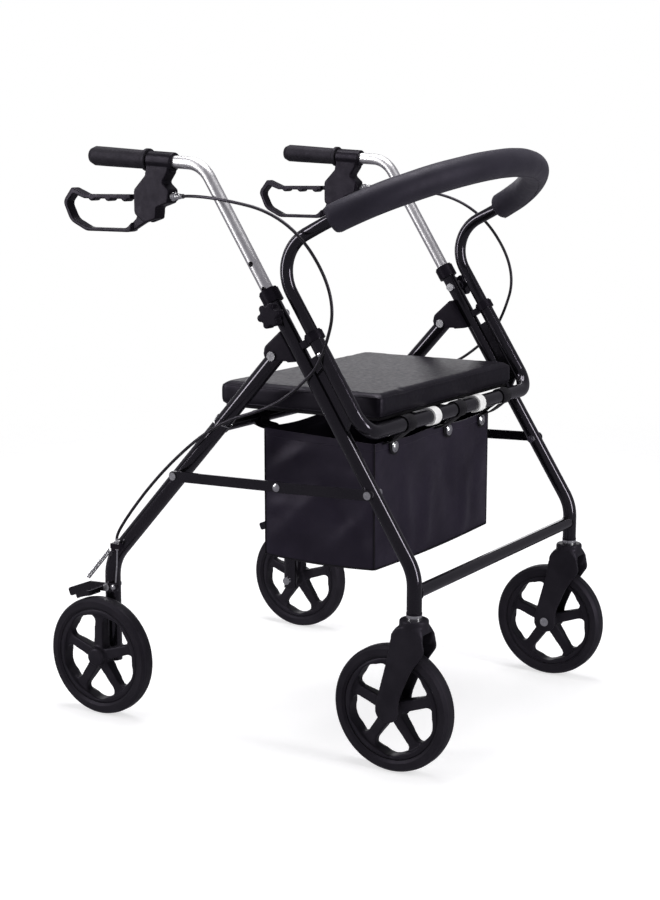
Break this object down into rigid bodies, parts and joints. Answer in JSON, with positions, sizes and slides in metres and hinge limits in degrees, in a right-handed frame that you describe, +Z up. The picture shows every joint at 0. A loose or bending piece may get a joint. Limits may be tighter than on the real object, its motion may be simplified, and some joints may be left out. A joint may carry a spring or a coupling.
{
  "type": "rollator walker",
  "caption": "Folding rollator walker with a flip-up padded seat, padded backrest bow, height-adjustable handles, loop brakes, swivel casters and a bag under the seat.",
  "frame": {"origin": "on the floor, midway between the front and rear axles and between the sides", "axes": "+X forward, towards the swivel casters; +Y to the left of the person walking behind it; +Z up"},
  "size_m": [0.714, 0.627, 0.8964],
  "materials": {
    "black_paint": "gloss black powder coat",
    "handle_steel": "satin",
    "bright_steel": "bright zinc",
    "black_plastic": "fine matte",
    "lever_plastic": "fine matte",
    "grip_rubber": "matte",
    "pad_foam": "matte charcoal foam",
    "seat_vinyl": "soft-touch vinyl with a fine grain",
    "seat_board": "matte",
    "white_nylon": "satin white",
    "bag_nylon": "black woven nylon",
    "webbing": "black webbing",
    "cable": "semi-gloss black jacket",
    "wheel_plastic": "satin",
    "tyre": "matte",
    "spring_steel": "bright"
  },
  "bodies": {
    "front_frame": {"front_tube_left": "black_paint", "front_tube_right": "black_paint", "front_crossbar": "black_paint", "seat_frame_tube": "black_paint", "tube_gussets": "black_paint", "caster_sockets": "black_plastic", "tube_collars": "black_plastic", "hinge_brackets": "black_plastic", "frame_bolts": "bright_steel", "backrest_tube": "black_paint", "backrest_pad": "pad_foam", "bag": "bag_nylon", "bag_straps_front": "webbing", "brake_cable_upper_left": "cable", "brake_cable_upper_right": "cable"},
    "rear_frame": {"rear_leg_left": "black_paint", "rear_leg_right": "black_paint", "rear_crossbar": "black_paint", "rear_axles": "bright_steel", "leg_rivets": "bright_steel", "brake_cable_stops": "black_plastic", "leg_adjusters": "bright_steel", "brake_springs": "spring_steel", "brake_cables_lower": "cable", "bag_straps_rear": "webbing"},
    "seat": {"seat_cushion": "seat_vinyl", "seat_board": "seat_board", "seat_clips": "white_nylon"},
    "handle_left": {"handle_tube_left": "handle_steel", "grip_left": "grip_rubber", "brake_housing_left": "black_plastic", "hand_adjuster_left": "bright_steel"},
    "brake_lever_left": {"brake_lever_left": "lever_plastic"},
    "knob_left": {"knob_left": "black_plastic"},
    "snap_button_left": {"snap_button_left": "bright_steel"},
    "caster_left": {"caster_fork_left": "wheel_plastic", "caster_hardware_left": "bright_steel"},
    "front_wheel_left": {"front_tyre_left": "tyre", "front_wheel_core_left": "wheel_plastic"},
    "rear_wheel_left": {"rear_tyre_left": "tyre", "rear_wheel_core_left": "wheel_plastic"},
    "brake_arm_left": {"brake_arm_left": "black_paint"},
    "link_front_left": {"link_front_left": "black_paint"},
    "link_rear_left": {"link_rear_left": "black_paint"},
    "handle_right": {"handle_tube_right": "handle_steel", "grip_right": "grip_rubber", "brake_housing_right": "black_plastic", "hand_adjuster_right": "bright_steel"},
    "brake_lever_right": {"brake_lever_right": "lever_plastic"},
    "knob_right": {"knob_right": "black_plastic"},
    "snap_button_right": {"snap_button_right": "bright_steel"},
    "caster_right": {"caster_fork_right": "wheel_plastic", "caster_hardware_right": "bright_steel"},
    "front_wheel_right": {"front_tyre_right": "tyre", "front_wheel_core_right": "wheel_plastic"},
    "rear_wheel_right": {"rear_tyre_right": "tyre", "rear_wheel_core_right": "wheel_plastic"},
    "brake_arm_right": {"brake_arm_right": "black_paint"},
    "link_front_right": {"link_front_right": "black_paint"},
    "link_rear_right": {"link_rear_right": "black_paint"}
  },
  "joints": [
    {"name": "frame_fold", "type": "hinge", "parent": "front_frame", "child": "rear_frame", "pos_m": [0.056, 0, 0.595], "axis": [0, -1, 0], "range_deg": [0, 35], "deforming": ["bag", "brake_cables_lower"]},
    {"name": "seat_flip", "type": "hinge", "parent": "front_frame", "child": "seat", "pos_m": [0.2122, 0, 0.49189], "axis": [0, 1, 0], "range_deg": [0, 90]},
    {"name": "handle_height_left", "type": "slide", "parent": "front_frame", "child": "handle_left", "axis": [-0.5344, 0, 0.8453], "range_m": [-0.084, 0.084], "deforming": ["brake_cable_upper_left"]},
    {"name": "brake_squeeze_left", "type": "hinge", "parent": "handle_left", "child": "brake_lever_left", "pos_m": [-0.148, 0.272, 0.82], "axis": [0, 1, 0], "range_deg": [0, 12], "stiffness_Nm_per_rad": 4, "springref_deg": -8.59},
    {"name": "knob_turn_left", "type": "hinge", "parent": "front_frame", "child": "knob_left", "pos_m": [0.06777, 0.272, 0.65673], "axis": [0, 1, 0], "continuous": true},
    {"name": "snap_press_left", "type": "slide", "parent": "front_frame", "child": "snap_button_left", "axis": [0, -1, 0], "range_m": [0, 0.0035], "stiffness_N_per_m": 800, "springref_m": -0.003},
    {"name": "caster_swivel_left", "type": "hinge", "parent": "front_frame", "child": "caster_left", "pos_m": [0.294, 0.272, 0.242], "axis": [0, 0, 1], "continuous": true},
    {"name": "front_wheel_spin_left", "type": "hinge", "parent": "caster_left", "child": "front_wheel_left", "pos_m": [0.262, 0.272, 0.095], "axis": [0, 1, 0], "continuous": true},
    {"name": "rear_wheel_spin_left", "type": "hinge", "parent": "rear_frame", "child": "rear_wheel_left", "pos_m": [-0.262, 0.294, 0.095], "axis": [0, 1, 0], "continuous": true},
    {"name": "brake_arm_press_left", "type": "hinge", "parent": "rear_frame", "child": "brake_arm_left", "pos_m": [-0.262, 0.262, 0.203], "axis": [0, -1, 0], "range_deg": [0, 3.2], "deforming": ["brake_springs"]},
    {"name": "link_front_turn_left", "type": "hinge", "parent": "front_frame", "child": "link_front_left", "pos_m": [0.2254, 0.272, 0.40737], "axis": [0, 1, 0], "range_deg": [0, 40.9]},
    {"name": "link_rear_turn_left", "type": "hinge", "parent": "rear_frame", "child": "link_rear_left", "pos_m": [-0.1228, 0.262, 0.3985], "axis": [0, -1, 0], "range_deg": [0, 28.63]},
    {"name": "handle_height_right", "type": "slide", "parent": "front_frame", "child": "handle_right", "axis": [-0.5344, 0, 0.8453], "range_m": [-0.084, 0.084], "deforming": ["brake_cable_upper_right"]},
    {"name": "brake_squeeze_right", "type": "hinge", "parent": "handle_right", "child": "brake_lever_right", "pos_m": [-0.148, -0.272, 0.82], "axis": [0, 1, 0], "range_deg": [0, 12], "stiffness_Nm_per_rad": 4, "springref_deg": -8.59},
    {"name": "knob_turn_right", "type": "hinge", "parent": "front_frame", "child": "knob_right", "pos_m": [0.06777, -0.272, 0.65673], "axis": [0, 1, 0], "continuous": true},
    {"name": "snap_press_right", "type": "slide", "parent": "front_frame", "child": "snap_button_right", "axis": [0, 1, 0], "range_m": [0, 0.0035], "stiffness_N_per_m": 800, "springref_m": -0.003},
    {"name": "caster_swivel_right", "type": "hinge", "parent": "front_frame", "child": "caster_right", "pos_m": [0.294, -0.272, 0.242], "axis": [0, 0, 1], "continuous": true},
    {"name": "front_wheel_spin_right", "type": "hinge", "parent": "caster_right", "child": "front_wheel_right", "pos_m": [0.262, -0.272, 0.095], "axis": [0, 1, 0], "continuous": true},
    {"name": "rear_wheel_spin_right", "type": "hinge", "parent": "rear_frame", "child": "rear_wheel_right", "pos_m": [-0.262, -0.294, 0.095], "axis": [0, 1, 0], "continuous": true},
    {"name": "brake_arm_press_right", "type": "hinge", "parent": "rear_frame", "child": "brake_arm_right", "pos_m": [-0.262, -0.262, 0.203], "axis": [0, -1, 0], "range_deg": [0, 3.2]},
    {"name": "link_front_turn_right", "type": "hinge", "parent": "front_frame", "child": "link_front_right", "pos_m": [0.2254, -0.272, 0.40737], "axis": [0, 1, 0], "range_deg": [0, 40.9]},
    {"name": "link_rear_turn_right", "type": "hinge", "parent": "rear_frame", "child": "link_rear_right", "pos_m": [-0.1228, -0.262, 0.3985], "axis": [0, -1, 0], "range_deg": [0, 28.63]}
  ],
  "couplings": [
    {"joint": "brake_arm_press_left", "follows": "brake_squeeze_left", "ratio": 0.26666},
    {"joint": "link_front_turn_left", "follows": "frame_fold", "ratio": 1.1686},
    {"joint": "link_rear_turn_left", "follows": "frame_fold", "ratio": 0.81799},
    {"joint": "brake_arm_press_right", "follows": "brake_squeeze_right", "ratio": 0.26666},
    {"joint": "link_front_turn_right", "follows": "frame_fold", "ratio": 1.1686},
    {"joint": "link_rear_turn_right", "follows": "frame_fold", "ratio": 0.81799}
  ]
}
